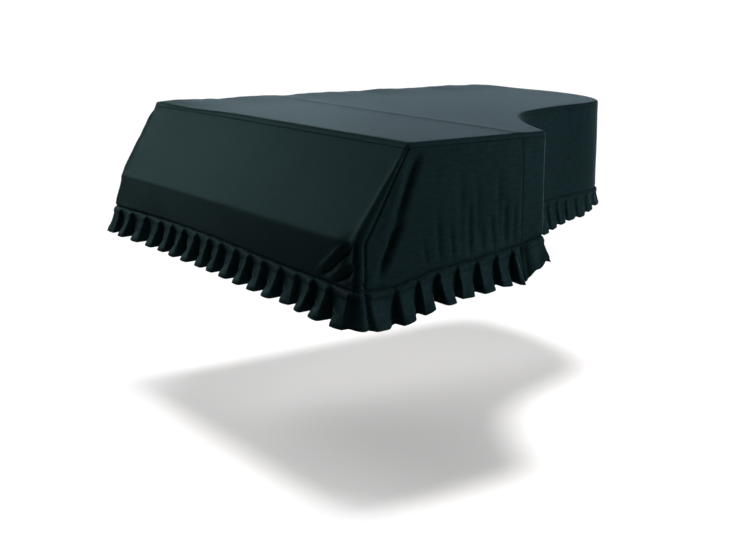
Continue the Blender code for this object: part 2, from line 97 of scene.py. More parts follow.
def woven_cloth(name):
    """Plain-weave polyester: threads over and under, slubs and a faint unevenness of dye."""
    material, tree, shader = new_material(name)
    weave = add_node(tree, "ShaderNodeUVMap", {"uv_map": "weave"})
    turns = math.pi / (10 * THREAD_PITCH)
    warp, weft = (add_node(tree, "ShaderNodeTexWave", {"bands_direction": direction},
                           {"Scale": turns, "Distortion": 0.6, "Detail": 1.0},
                           {"Vector": weave.outputs["UV"]}) for direction in ("X", "Y"))
    over_under = add_node(tree, "ShaderNodeMath", {"operation": "MULTIPLY"}, {},
                          {0: warp.outputs["Fac"], 1: weft.outputs["Fac"]})
    stretched = add_node(tree, "ShaderNodeMapping", {}, {"Scale": (1.0, SLUB_ASPECT, 1.0)},
                         {"Vector": weave.outputs["UV"]})
    slubs = add_node(tree, "ShaderNodeTexNoise", {"noise_dimensions": "2D"},
                     {"Scale": 1.0 / SLUB_LENGTH, "Detail": 3.0, "Roughness": 0.6},
                     {"Vector": stretched.outputs["Vector"]})
    patches = add_node(tree, "ShaderNodeTexNoise", {"noise_dimensions": "2D"},
                       {"Scale": 1.0 / FADE_SIZE, "Detail": 2.0}, {"Vector": weave.outputs["UV"]})
    depth_of_dye = add_node(tree, "ShaderNodeMix", {"data_type": "FLOAT"}, {0: SLUB_DYE},
                            {2: patches.outputs["Fac"], 3: slubs.outputs["Fac"]})
    colour = add_node(tree, "ShaderNodeMix", {"data_type": "RGBA"},
                      {6: linear(DYE), 7: linear(DYE_PALE)}, {0: depth_of_dye.outputs[0]})
    roughness = add_node(tree, "ShaderNodeMapRange", {}, {"To Min": 0.39, "To Max": 0.45},
                         {"Value": slubs.outputs["Fac"]})
    relief = add_node(tree, "ShaderNodeMix", {"data_type": "FLOAT"}, {0: SLUB_RELIEF},
                      {2: over_under.outputs[0], 3: slubs.outputs["Fac"]})
    bump = add_node(tree, "ShaderNodeBump", {}, {"Strength": 0.85, "Distance": 0.0004},
                    {"Height": relief.outputs[0]})
    feed(tree, shader, {"Metallic": 0.08, "Specular Tint": linear(LUSTRE), "Specular IOR Level": 0.0,
                        "Sheen Weight": 0.245, "Sheen Roughness": 0.15, "Sheen Tint": linear(BLOOM)},
         {"Base Color": colour.outputs[2], "Roughness": roughness.outputs["Result"],
          "Normal": bump.outputs["Normal"]})
    return material


cloth = woven_cloth("black-green plain weave")


def new_piece(name, shape, material):
    """Make a bmesh a smooth piece of the cover in one material."""
    mesh = bpy.data.meshes.new(name)
    shape.to_mesh(mesh)
    shape.free()
    mesh.materials.append(material)
    mesh.shade_smooth()
    piece = bpy.data.objects.new(name, mesh)
    bpy.context.scene.collection.objects.link(piece)
    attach(piece, "root")
    return piece


def finish_cloth(name, sheet, weave_places):
    """Make an open sheet a thin piece of cloth that stands for the solid of the same name."""
    layer = sheet.loops.layers.uv.new("weave")
    for face in sheet.faces:
        for loop in face.loops:
            loop[layer].uv = weave_places[loop.vert]
    bmesh.ops.recalc_face_normals(sheet, faces=sheet.faces)
    piece = new_piece(f"{name}_cloth", sheet, cloth)
    thick = piece.modifiers.new("thickness of the cloth", "SOLIDIFY")
    thick.thickness = CLOTH_THICKNESS
    thick.offset = 0.0
    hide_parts(name)
    return piece


# ---- Sewing thread -----------------------------------------------------------
# Matt spun polyester thread, dyed to match the cloth and sewn in lockstitch. The ply
# gives each stitch fine slanting lines.
STITCH_LENGTH = 0.0036
STITCH_SPACING = 0.0048
STITCH_WIDTH = 0.0007          # about twice the real thread, so that a row shows
STEP_UP = 0.004                # up the cloth, to find which way it faces
THREAD_COLOUR = "101c1e"
PLY_TURN = 0.0005              # along the thread, for one turn of its ply

thread, thread_tree, thread_shader = new_material("spun polyester thread")
ply = add_node(thread_tree, "ShaderNodeTexWave", {"bands_direction": "DIAGONAL"},
               {"Scale": math.pi / (10 * PLY_TURN)},
               {"Vector": add_node(thread_tree, "ShaderNodeTexCoord").outputs["Object"]})
ply_relief = add_node(thread_tree, "ShaderNodeBump", {}, {"Strength": 0.5, "Distance": 0.0001},
                      {"Height": ply.outputs["Fac"]})
ply_shine = add_node(thread_tree, "ShaderNodeMapRange", {}, {"To Min": 0.55, "To Max": 0.75},
                     {"Value": ply.outputs["Fac"]})
feed(thread_tree, thread_shader, {"Base Color": linear(THREAD_COLOUR), "Specular IOR Level": 0.15},
     {"Normal": ply_relief.outputs["Normal"], "Roughness": ply_shine.outputs["Result"]})


def sew(name, spot, lines):
    """Rows of stitches on a cloth. spot gives a world place for a way along and a way up it."""
    stitches = bmesh.new()
    for line in lines:
        places = [spot(along, up) for along, up in line]
        travelled = 0.0
        due = STITCH_SPACING
        for number, (along, up) in enumerate(line[:-1]):
            step = places[number + 1] - places[number]
            travelled += step.length
            if travelled < due:
                continue
            due += STITCH_SPACING
            above = spot(along, up + STEP_UP) - places[number]
            out = step.cross(above).normalized()
            way = step.normalized()
            turned = Matrix((way * STITCH_LENGTH / 2, out.cross(way) * STITCH_WIDTH / 2,
                             out * STITCH_WIDTH / 2)).transposed().to_4x4()
            turned.translation = places[number] + out * CLOTH_THICKNESS / 2
            bmesh.ops.create_uvsphere(stitches, u_segments=4, v_segments=3, radius=1.0, matrix=turned)
    return new_piece(name, stitches, thread)


# ---- Top panels ------------------------------------------------------------
# The flat top is cut to the outline of the closed lid in two panels, joined by a
# cross seam. Their edge turns down over the lid in a soft roll, which the front's slope
# takes over early, and ends in the seam that carries the side panels.
HALF_WIDTH = 0.745             # of the lid
LID_FRONT = -0.66              # world y of the lid's front edge
CREST = 0.001                  # middle of the cloth over the lid
TAIL_BACK = 1.505
LID_CORNER = 0.008
SIDE_SEAM_BACK = 0.41
SPINE_SEAM_BACK = 1.36
CROSS_SEAM_LEFT = 0.465
CROSS_SEAM_RIGHT = 0.405
ROLL_RADIUS = 0.010
ROLL_STEPS = 6
LIP_DEPTH = 0.014
SEAM_GAP = 0.0012              # between the middles of two sewn pieces
EDGE_SEAM_GAP = 0.0010
CROSS_SEAM_GAP = 0.0003        # the cross seam is pressed flat, towards the tail
CROSS_SEAM_DIP = 0.0005
CROSS_STITCH_OFF = 0.004       # of the rows of stitches from the cross seam
CROSS_ROW_HALF = 0.738         # half the length of a row
CROSS_ROW_STEPS = 738          # of 1 mm, to find the places of its stitches
CROSS_RIDGE = 0.0012           # soft swelling beside the cross seam
CROSS_RIDGE_WIDTH = 0.022
SEAM_DIP = 0.0035              # how far the edges turn in at a seam
EDGE_DIP = 0.0003              # less at the seam under the rolled edge, which is pressed
SEAM_ROLL = 0.008              # how wide that turn is
ALLOWANCE = 0.006              # of cloth past the seam, on the inside
CROSS_ALLOWANCE = Vector((0.0, ALLOWANCE, -0.0025))
SLOPE_REACH = 0.169            # of the front, forward of the lid
SLOPE_DEPTH = 0.256            # of the bend between the slope and the upright band
SLOPE_SOFTNESS = 0.028         # share of the slope that the bend takes up each way
FACES_FRONT = -0.01            # y of the outward way, below which an edge ends in the slope
SPINE_RISE = 0.0035            # of the top along the spine, with long waves and short ripples
SPINE_WAVE = 0.0015
WAVE_PITCH = 21.0              # radians for each metre back
RISE_FROM = 0.45               # from the middle of the lid towards the spine
RISE_RUN = 0.30
SPINE_RIPPLE = 0.0022
RIPPLE_FROM = 0.52
RIPPLE_RUN = 0.15
CORNER_DROOP = 0.006           # of the top at its left front corner
DROOP_FROM = 0.1
DROOP_RUN = 0.6
DROOP_BACK = 0.10
BILLOW = 0.0012                # of the whole top
EDGE_LENGTH = 0.009            # along the outline
CUT_SPACING = 0.022            # over the flat of the top
SEAM_CUTS = (0.002, 0.0045, 0.008, 0.014, 0.024)

Turn = namedtuple("Turn", "x back heading")
OUTLINE = (
    Turn(-HALF_WIDTH, SPINE_SEAM_BACK, 270),
    Turn(-HALF_WIDTH, CROSS_SEAM_LEFT, 270),
    Turn(-HALF_WIDTH, LID_CORNER, 270),
    Turn(-HALF_WIDTH + LID_CORNER, 0.0, 0),
    Turn(HALF_WIDTH - LID_CORNER, 0.0, 0),
    Turn(HALF_WIDTH, LID_CORNER, 90),
    Turn(HALF_WIDTH, CROSS_SEAM_RIGHT, 90),
    Turn(HALF_WIDTH, SIDE_SEAM_BACK, 90),
    Turn(HALF_WIDTH, 0.488, 90),
    Turn(0.736, 0.504, 152),
    Turn(0.430, 0.682, 143),
    Turn(0.262, 0.890, 112),
    Turn(0.190, 1.150, 97),
    Turn(0.084, 1.380, 140),
    Turn(-0.250, TAIL_BACK - 0.003, 175),
    Turn(-0.665, TAIL_BACK, 180),
    Turn(-HALF_WIDTH, TAIL_BACK - 0.080, 270),
    Turn(-HALF_WIDTH, SPINE_SEAM_BACK, 270),
)
CROSS_SEAM_LEFT_TURN = 1
CROSS_SEAM_RIGHT_TURN = 6
SIDE_SEAM_TURN = 7
LAST_TURN = len(OUTLINE) - 1
SHORTEST_SPAN = 4              # edges, so that tight corners stay round

# How far the cloth stands off the left front corner of the lid, by depth
Loose = namedtuple("Loose", "depth out")
LOOSE_CORNER = (
    Loose(0.000, 0.027),
    Loose(0.030, 0.020),
    Loose(0.120, 0.015),
    Loose(0.256, 0.009),
    Loose(0.370, 0.030),
)
LOOSE_SPREAD = 0.40
LOOSE_WAY = Vector((-1.0, -0.8))

Edge = namedtuple("Edge", "point outward")


def heading_vector(degrees):
    return Vector((math.cos(math.radians(degrees)), math.sin(math.radians(degrees))))


def outline_from(first_turn, last_turn):
    """The lid's edge between two turns of its outline, as points with their outward ways."""
    points = []
    for start, end in zip(OUTLINE[first_turn:last_turn], OUTLINE[first_turn + 1:last_turn + 1]):
        first = Vector((start.x, start.back))
        last = Vector((end.x, end.back))
        handle = (last - first).length / 3
        second = first + heading_vector(start.heading) * handle
        third = last - heading_vector(end.heading) * handle
        steps = max(math.ceil((last - first).length / EDGE_LENGTH), SHORTEST_SPAN)
        for step in range(steps):
            t = step / steps
            points.append(first * (1 - t) ** 3 + second * 3 * t * (1 - t) ** 2
                          + third * 3 * t ** 2 * (1 - t) + last * t ** 3)
    points.append(Vector((OUTLINE[last_turn].x, OUTLINE[last_turn].back)))
    edges = []
    for number, point in enumerate(points):
        if number == 0:
            along = heading_vector(OUTLINE[first_turn].heading)
        elif number == len(points) - 1:
            along = heading_vector(OUTLINE[last_turn].heading)
        else:
            along = (points[number + 1] - points[number - 1]).normalized()
        edges.append(Edge(point, Vector((along.y, -along.x))))
    return edges


def smooth(value):
    """Ease from 0 to 1, flat at both ends."""
    value = min(max(value, 0.0), 1.0)
    return value * value * (3.0 - 2.0 * value)


def waver(x, y, z):
    """Smooth unevenness around 0 that changes over about one unit."""
    return noise.noise(Vector((x, y, z)))


def slope_reach(depth):
    """How far the front stands forward of the lid: a slope, a soft bend, then upright."""
    part = max((depth - ROLL_RADIUS) / (SLOPE_DEPTH - ROLL_RADIUS), 0.0)
    if part > 1 + SLOPE_SOFTNESS:
        return SLOPE_REACH
    over = max(part - (1 - SLOPE_SOFTNESS), 0.0)
    return SLOPE_REACH * (part - over * over / (4 * SLOPE_SOFTNESS))


def rows_around(table, value):
    """The two rows that a value lies between by their first column, and its share of the way."""
    for low, high in zip(table, table[1:]):
        if value <= high[0]:
            break
    return low, high, (value - low[0]) / (high[0] - low[0])


def place_on_lid(point, depth):
    """World place of a plan point at a depth, with the looseness of the left front corner."""
    low, high, part = rows_around(LOOSE_CORNER, depth)
    out = low.out + (high.out - low.out) * smooth(part)
    away = math.hypot(point[0] + HALF_WIDTH, point[1] + slope_reach(depth))
    shift = LOOSE_WAY * out * smooth(1.0 - away / LOOSE_SPREAD)
    return Vector((point[0] + shift.x, point[1] + shift.y + LID_FRONT, CREST - depth))


def cross_seam_back(x):
    """Where the cross seam is, back from the lid's front edge."""
    return CROSS_SEAM_LEFT + (CROSS_SEAM_RIGHT - CROSS_SEAM_LEFT) * (x / HALF_WIDTH + 1) / 2


def top_rise(x, back):
    """Unevenness of the top: raised along the spine, sunk at the left front corner."""
    wave = SPINE_RISE + SPINE_WAVE * math.sin(back * WAVE_PITCH)
    rise = wave * smooth((-x - RISE_FROM) / RISE_RUN)
    rise += SPINE_RIPPLE * waver(x * 6.0, back * 24.0, 2.0) * smooth((-x - RIPPLE_FROM) / RIPPLE_RUN)
    rise -= CORNER_DROOP * smooth((-x - DROOP_FROM) / DROOP_RUN) * smooth(1.0 - back / DROOP_BACK)
    rise += BILLOW * waver(x * 3.1, back * 2.3, 5.0)
    from_seam = abs(back - cross_seam_back(x))
    rise += CROSS_RIDGE * math.exp(-(from_seam / CROSS_RIDGE_WIDTH) ** 2)
    return rise - CROSS_SEAM_DIP * (1.0 - smooth(from_seam / CROSS_STITCH_OFF))


# A ring of cloth round the rolled edge: how far out and how deep it lies, and the cloth
# used from the flat of the top to it
EdgeRing = namedtuple("EdgeRing", "out depth used")
ROLL_LENGTH = ROLL_RADIUS * math.pi / 2
LIP_LENGTH = 0.0045            # of cloth from the roll to the seam
EDGE_RINGS = []
for ring_number in range(1, ROLL_STEPS + 1):
    roll = math.pi / 2 * ring_number / ROLL_STEPS
    EDGE_RINGS.append(EdgeRing(ROLL_RADIUS * math.sin(roll), ROLL_RADIUS * (1 - math.cos(roll)),
                               ROLL_RADIUS * roll))
EDGE_RINGS += [
    EdgeRing(ROLL_RADIUS - 0.0001, LIP_DEPTH - 0.0020, ROLL_LENGTH + 0.0020),
    EdgeRing(ROLL_RADIUS - 0.0002, LIP_DEPTH - 0.0003, ROLL_LENGTH + 0.0042),
    EdgeRing(ROLL_RADIUS - EDGE_DIP, LIP_DEPTH, ROLL_LENGTH + LIP_LENGTH),
    EdgeRing(ROLL_RADIUS - EDGE_DIP - ALLOWANCE, LIP_DEPTH, ROLL_LENGTH + LIP_LENGTH + ALLOWANCE),
]


def front_ring(ring):
    """How far forward and how deep a ring lies along the front, where the roll ends in the slope."""
    lip = ROLL_RADIUS + slope_reach(LIP_DEPTH)
    crease = lip - LIP_DEPTH * SLOPE_REACH / (SLOPE_DEPTH - ROLL_RADIUS)
    part = min(ring.used / (ROLL_LENGTH + LIP_LENGTH), 1.0)
    on_roll = ROLL_RADIUS * math.sin(min(ring.used, ROLL_LENGTH) / ROLL_RADIUS)
    forward = 2 * part * (1 - part) * crease + part * part * lip - on_roll
    return forward, part * part * LIP_DEPTH


def cut_flat(points):
    """The flat of a top panel inside its rolled edge, cut across, along and beside the cross seam."""
    sheet = bmesh.new()
    sheet.faces.new([sheet.verts.new(point) for point in points])
    low_back = min(point.y for point in points)
    high_back = max(point.y for point in points)
    cuts = []
    for number in range(1, math.ceil((high_back - low_back) / CUT_SPACING)):
        cuts.append((Vector((0, low_back + number * CUT_SPACING, 0)), Vector((0, 1, 0))))
    for number in range(1, math.ceil(2 * HALF_WIDTH / CUT_SPACING)):
        cuts.append((Vector((number * CUT_SPACING - HALF_WIDTH, 0, 0)), Vector((1, 0, 0))))
    seam_way = (points[-1] - points[0]).normalized()
    across_seam = Vector((-seam_way.y, seam_way.x, 0.0))
    for distance in SEAM_CUTS:
        cuts.append((points[0] + across_seam * distance, across_seam))
        cuts.append((points[0] - across_seam * distance, across_seam))
    for place, facing in cuts:
        everything = list(sheet.verts) + list(sheet.edges) + list(sheet.faces)
        bmesh.ops.bisect_plane(sheet, geom=everything, plane_co=place, plane_no=facing, dist=1e-5)
    bmesh.ops.triangulate(sheet, faces=[face for face in sheet.faces if len(face.verts) > 4])
    return sheet


def open_edges(sheet, start, end, on_seam):
    """The open edges of a top panel that are on the line of its cross seam, or else the others."""
    along = (end - start).normalized()

    def off_line(vert):
        offset = vert.co - start
        return (offset - along * offset.dot(along)).length

    return [edge for edge in sheet.edges
            if edge.is_boundary and on_seam == all(off_line(vert) < 1e-4 for vert in edge.verts)]


def made_of(kind, made):
    """The parts of one kind among those that an operator made."""
    return [part for part in made if isinstance(part, kind)]


def top_panel(name, track):
    """A top panel: its flat is cut, its edge rolled down in rings, and all of it laid on the lid."""
    side = 1 if name == "top_rear" else -1
    shift = Vector((0.0, side * CROSS_SEAM_GAP / 2))
    track = [Edge(edge.point + shift if number in (0, len(track) - 1) else edge.point, edge.outward)
             for number, edge in enumerate(track)]
    points = [(edge.point - edge.outward * ROLL_RADIUS).to_3d() for edge in track]
    sheet = cut_flat(points)
    inset = sheet.verts.layers.float_vector.new("inset")
    outward = sheet.verts.layers.float_vector.new("outward")
    laid = sheet.verts.layers.float_vector.new("laid flat")
    for vert in sheet.verts:
        vert[laid] = vert.co
    rim = open_edges(sheet, points[0], points[-1], False)
    for vert in {vert for edge in rim for vert in edge.verts}:
        near = min(range(len(points)), key=lambda number: (points[number] - vert.co).length)
        vert[inset] = vert.co
        vert[outward] = (*track[near].outward, 0.0)
    for ring in EDGE_RINGS:
        made = bmesh.ops.extrude_edge_only(sheet, edges=rim)["geom"]
        rim = made_of(bmesh.types.BMEdge, made)
        forward, front_depth = front_ring(ring)
        reach = slope_reach(ring.depth)
        for vert in made_of(bmesh.types.BMVert, made):
            way = vert[outward]
            vert.co = vert[inset] + way * ring.out
            vert.co.z = -ring.depth
            if way.y < FACES_FRONT:
                vert.co.y -= reach + (reach - forward) * way.y
                vert.co.z -= (ring.depth - front_depth) * way.y
            vert[laid] = vert[inset] + way * ring.used
    seam = open_edges(sheet, points[0], points[-1], True)
    for vert in sheet.verts:
        x, back, height = vert.co
        flatness = 1.0 - min(max(-height / ROLL_RADIUS, 0.0), 1.0)
        vert.co = place_on_lid((x, back), -height - top_rise(x, back) * flatness)
    made = bmesh.ops.extrude_edge_only(sheet, edges=seam)["geom"]
    allowance = made_of(bmesh.types.BMVert, made)
    bmesh.ops.translate(sheet, verts=allowance, vec=CROSS_ALLOWANCE)
    return finish_cloth(name, sheet, {vert: vert[laid].xy for vert in sheet.verts})


front_track = outline_from(CROSS_SEAM_LEFT_TURN, CROSS_SEAM_RIGHT_TURN)
top_front = top_panel("top_front", front_track)


def cross_seam_spot(x, behind):
    """World place on the top at a distance behind the cross seam."""
    back = cross_seam_back(x) + behind
    return place_on_lid((x, back), -top_rise(x, back))


def cross_seam_row(name, behind):
    """One row of stitches, from one rolled edge to the other."""
    line = [(CROSS_ROW_HALF * number / CROSS_ROW_STEPS, behind)
            for number in range(-CROSS_ROW_STEPS, CROSS_ROW_STEPS + 1)]
    return sew(name, cross_seam_spot, [line])


front_row = cross_seam_row("cross_seam_front_row", -CROSS_STITCH_OFF)

rear_track = outline_from(CROSS_SEAM_RIGHT_TURN, LAST_TURN)[:-1] + outline_from(0, CROSS_SEAM_LEFT_TURN)
top_rear = top_panel("top_rear", rear_track)
rear_row = cross_seam_row("cross_seam_rear_row", CROSS_STITCH_OFF)


# ---- Front panel -------------------------------------------------------------
# One piece slopes over the key lid, bends under it and hangs on as an upright band.
# It wraps a little round both front corners to the seams of the side panels. Cloth
# is drawn in soft folds from the right corner seam down to the frill.
CORNER_RADIUS = 0.022
CORNER_WRAP = 0.010            # of the front's cloth past the corner, to its seam
CORNER_PUFF = 0.007            # soft roll along each front corner
PUFF_WIDTH_TOP = 0.007
PUFF_WIDTH_FOOT = 0.017
PUFF_START = 0.12              # share of the panel, where it has its full height
PUFF_END = 0.215               # depth at which it begins to fade, towards the bend
PUFF_FADE = 0.05
CORNER_HOLLOW = 0.009          # the treble corner is drawn in under the bend
HOLLOW_OFF = 0.062
HOLLOW_WIDTH = 0.028
HOLLOW_FADE = 0.06
HOLLOW_CLEAR = 0.020           # above the frill's seam
PANEL_TOP = LIP_DEPTH + EDGE_SEAM_GAP
FOLD_RUN = 0.675               # share of a fold's line, each way from its middle
FOLD_CLEAR = 0.018             # above the frill's seam
PUCKER = 0.0009                # height of the small puckers beside a seam
PUCKER_LENGTH = 0.011
PUCKER_WAY = 0.06              # over which a pucker bends, away from the seam
PUCKER_REACH = 0.022
SWELL = 0.0013                 # large soft unevenness of a hanging panel
SWELL_SIZE = 0.16
SEAM_CLEAR = 0.05              # from a seam, where it has its full height
LINES_AT_SEAM = (0.0, 0.0004, 0.002, 0.004, 0.006, 0.009, 0.013)
LINE_SPACING = 0.0075          # of the grid of a panel without small folds
FOLD_LINE_SPACING = 0.0065
FRONT_RUN = 0.44               # of cloth from the top seam to the frill
SLANT = 1.2                    # length of cloth on the front, for each metre of depth

# Depth of the frill seam under the lid, drop of the frill below it, and how far its
# middle stands out at the hem, by distance along the seam from the middle of the front
Hang = namedtuple("Hang", "along seam drop flare")
FRONT_HANG = (
    Hang(-HALF_WIDTH, 0.365, 0.088, 0.024),
    Hang(-0.2, 0.366, 0.094, 0.024),
    Hang(0.5, 0.380, 0.092, 0.024),
    Hang(HALF_WIDTH, 0.385, 0.100, 0.022),
)

# A trough (minus) or ridge (plus) along a straight line on a hanging panel
Fold = namedtuple("Fold", "top_across top_depth foot_across foot_depth width height")
FRONT_FOLDS = (
    Fold(0.698, 0.258, 0.570, 0.354, 0.011, 0.005),
    Fold(0.715, 0.268, 0.595, 0.362, 0.013, -0.013),
    Fold(0.728, 0.300, 0.622, 0.370, 0.007, 0.005),
    Fold(0.735, 0.320, 0.648, 0.378, 0.010, -0.011),
    Fold(0.742, 0.344, 0.676, 0.384, 0.006, 0.005),
    Fold(0.748, 0.366, 0.705, 0.390, 0.009, -0.008),
)


def corner_growth(depth):
    """How far the front corners have grown rounder, from 0 at the lid to 1 at the bend."""
    return smooth((depth - LIP_DEPTH) / (SLOPE_DEPTH - LIP_DEPTH))


def corner_radius(depth):
    return LID_CORNER + corner_growth(depth) * (CORNER_RADIUS - LID_CORNER)


def corner_seam_back(depth):
    """Where the corner seams run, back from the lid's front edge."""
    return corner_radius(depth) + CORNER_WRAP * corner_growth(depth) - slope_reach(depth)


def read_hang(table, along):
    """Seam depth, frill drop and frill flare at a place between two rows of a table."""
    low, high, part = rows_around(table, along)
    return Hang(along, *(start + smooth(part) * (end - start) for start, end in zip(low[1:], high[1:])))


def fold_height(folds, across, depth):
    """How far the folds together stand out at a place on a panel."""
    total = 0.0
    for fold in folds:
        part = (depth - fold.top_depth) / (fold.foot_depth - fold.top_depth)
        line = fold.top_across + part * (fold.foot_across - fold.top_across)
        fade = smooth((FOLD_RUN - abs(part - 0.5)) * 2.0)
        total += fold.height * fade * math.exp(-((across - line) / fold.width) ** 2)
    return total


def turned_in(distance, dip=SEAM_DIP):
    """How far cloth lies below its face at a distance from a seam, with the allowance at its end."""
    turned = max(1.0 - distance / LINES_AT_SEAM[1], 0.0)
    return dip * (1.0 - smooth(distance / SEAM_ROLL)) + ALLOWANCE * turned


def puckers(along, distance, seed):
    """Small puckers across a seam, at a place along it and a distance from it."""
    wave = waver(along / PUCKER_LENGTH, distance / PUCKER_WAY, seed)
    return PUCKER * wave * math.exp(-distance / PUCKER_REACH)


def swell(along, depth, seed):
    """Large soft unevenness at a place on a panel."""
    return SWELL * waver(along / SWELL_SIZE + seed, depth / SWELL_SIZE, 0.0)


def lines_between_seams(length, spacing=LINE_SPACING):
    """Shares of a length for the lines of a grid, close together beside both seams."""
    inner = length - 2 * LINES_AT_SEAM[-1]
    count = math.ceil(inner / spacing)
    lines = list(LINES_AT_SEAM)
    lines += [LINES_AT_SEAM[-1] + inner * number / count for number in range(1, count)]
    lines += [length - distance for distance in reversed(LINES_AT_SEAM)]
    return [line / length for line in lines]


def hang_panel(name, columns, rows, place):
    """A panel on a grid of cloth, each crossing put where place says, with its spot on the weave."""
    sheet = bmesh.new()
    bmesh.ops.create_grid(sheet, x_segments=len(columns) - 1, y_segments=len(rows) - 1, size=0.5)
    spots = {}
    for vert in sheet.verts:
        column = columns[round((vert.co.x + 0.5) * (len(columns) - 1))]
        row = rows[round((0.5 - vert.co.y) * (len(rows) - 1))]
        vert.co, spots[vert] = place(column, row)
    return finish_cloth(name, sheet, spots)


def front_plan(distance, depth):
    """Plan point and outward way on the front cloth, by the distance from its middle."""
    side = math.copysign(1.0, distance)
    radius = corner_radius(depth)
    straight = HALF_WIDTH - radius
    front = -slope_reach(depth)
    over = abs(distance) - straight
    if over <= 0:
        return Vector((distance, front)), Vector((0.0, -1.0))
    turn = over / radius
    if turn < math.pi / 2:
        outward = Vector((side * math.sin(turn), -math.cos(turn)))
        return Vector((side * straight, front + radius)) + outward * radius, outward
    past = over - radius * math.pi / 2
    return Vector((side * HALF_WIDTH, front + radius + past)), Vector((side, 0.0))


def front_half(depth):
    """Half the width of the front cloth at a depth, round to the corner seam."""
    radius = corner_radius(depth)
    return HALF_WIDTH - radius + radius * math.pi / 2 + CORNER_WRAP * corner_growth(depth) - SEAM_GAP / 2


def front_place(across, down):
    """World place and spot on the weave of the front, across it and down it."""
    across = across * 2 - 1
    foot = read_hang(FRONT_HANG, across * HALF_WIDTH).seam
    depth = PANEL_TOP + (foot - PANEL_TOP) * down
    half = front_half(depth)
    distance = across * half
    point, outward = front_plan(distance, depth)
    to_side = half - abs(distance)
    to_top = (depth - PANEL_TOP) * SLANT
    to_foot = foot - depth
    corner_middle = HALF_WIDTH - corner_radius(depth) * (1 - math.pi / 4)
    puff_width = PUFF_WIDTH_TOP + (PUFF_WIDTH_FOOT - PUFF_WIDTH_TOP) * corner_growth(depth)
    roll = math.exp(-((abs(distance) - corner_middle) / puff_width) ** 2)
    puffed = smooth(down / PUFF_START) * (1.0 - smooth((depth - PUFF_END) / PUFF_FADE))
    stand = CORNER_PUFF * roll * puffed
    stand += fold_height(FRONT_FOLDS, point.x, depth) * smooth(to_foot / FOLD_CLEAR)
    if distance > 0:
        hollow = math.exp(-((to_side - HOLLOW_OFF) / HOLLOW_WIDTH) ** 2)
        drawn_in = smooth((depth - PUFF_END) / HOLLOW_FADE) * smooth(to_foot / HOLLOW_CLEAR)
        stand -= CORNER_HOLLOW * hollow * drawn_in
    stand += puckers(distance, to_top, 1.0) + puckers(distance, to_foot, 2.0)
    stand += puckers(depth, to_side, 3.0 + math.copysign(1.0, distance))
    nearest = min(to_top, to_foot, to_side)
    stand += swell(distance, depth, 11.0) * smooth(nearest / SEAM_CLEAR)
    stand -= max(turned_in(min(to_side, to_foot)), turned_in(to_top, EDGE_DIP))
    return place_on_lid(point + outward * stand, depth), Vector((distance, depth * SLANT))


front_panel = hang_panel("front_panel", lines_between_seams(2 * front_half(SLOPE_DEPTH)),
                         lines_between_seams(FRONT_RUN, FOLD_LINE_SPACING), front_place)


# ---- Side panels by the keyboard: treble and spine -------------------------------
# Each hangs straight down from the rolled edge, from its corner seam back to the next
# panel. On the treble side two long troughs run down and forward from the edge, and
# small folds rise from the frill near the rear seam.
FLAT_DIP = 0.0009              # the upright rear seams are pressed flat
STITCH_GROOVE = 0.0013         # and stitched down on both sides
STITCH_OFF = 0.004
GROOVE_WIDTH = 0.0012
GROOVE_END = 0.21              # depth at which the stitched groove begins to fade
GROOVE_FADE = 0.08
FOLD_MARGINS = (0.06, 0.04, 0.10)  # shares of a panel without folds: front, rear and top
FOLD_HELD = 0.3                # share of a fold that the frill's seam leaves
HELD_FROM = 0.12               # share of the panel's depth, above that seam
ROW_STEPS = 300                # down a panel, of which a row takes these
ROW_START = 8
ROW_END = 210
TREBLE_RUN = 0.55              # of cloth along a panel and down it, from seam to seam
TREBLE_DROP = 0.37
TREBLE_LINE_SPACING = 0.0055
SPINE_RUN = 1.50
SPINE_DROP = 0.34
SPINE_LINE_SPACING = 0.011
SPINE_HANG = (
    Hang(-0.14, 0.367, 0.089, 0.024),
    Hang(0.05, 0.362, 0.094, 0.022),
    Hang(0.30, 0.334, 0.098, 0.022),
    Hang(0.50, 0.322, 0.098, 0.022),
    Hang(SPINE_SEAM_BACK, 0.322, 0.098, 0.022),
)
TREBLE_HANG = (
    Hang(-0.14, 0.386, 0.102, 0.022),
    Hang(-0.05, 0.387, 0.101, 0.022),
    Hang(0.02, 0.373, 0.100, 0.022),
    Hang(0.10, 0.358, 0.090, 0.022),
    Hang(0.20, 0.349, 0.092, 0.022),
    Hang(0.33, 0.334, 0.094, 0.022),
    Hang(SIDE_SEAM_BACK, 0.325, 0.104, 0.024),
)
TREBLE_FOLDS = (
    Fold(0.036, 0.028, -0.045, 0.245, 0.015, -0.016),
    Fold(-0.022, 0.215, -0.092, 0.355, 0.014, -0.018),
    Fold(0.000, 0.060, -0.085, 0.270, 0.022, 0.004),
    Fold(0.055, 0.270, 0.075, 0.365, 0.006, -0.003),
    Fold(0.105, 0.200, 0.115, 0.352, 0.009, -0.004),
    Fold(0.150, 0.240, 0.163, 0.350, 0.007, -0.004),
    Fold(0.185, 0.110, 0.190, 0.345, 0.012, -0.003),
    Fold(0.218, 0.190, 0.222, 0.345, 0.011, -0.006),
    Fold(0.245, 0.130, 0.250, 0.340, 0.010, -0.003),
    Fold(0.262, 0.250, 0.268, 0.335, 0.010, -0.004),
    Fold(0.300, 0.230, 0.310, 0.330, 0.011, -0.006),
    Fold(0.322, 0.110, 0.332, 0.330, 0.010, -0.0035),
    Fold(0.352, 0.190, 0.350, 0.325, 0.010, -0.006),
    Fold(0.386, 0.205, 0.380, 0.325, 0.008, -0.004),
)
SPINE_FOLDS = (
    Fold(0.030, 0.080, -0.060, 0.300, 0.030, -0.010),
    Fold(0.620, 0.160, 0.640, 0.310, 0.025, -0.005),
    Fold(1.050, 0.120, 1.060, 0.310, 0.025, -0.005),
)


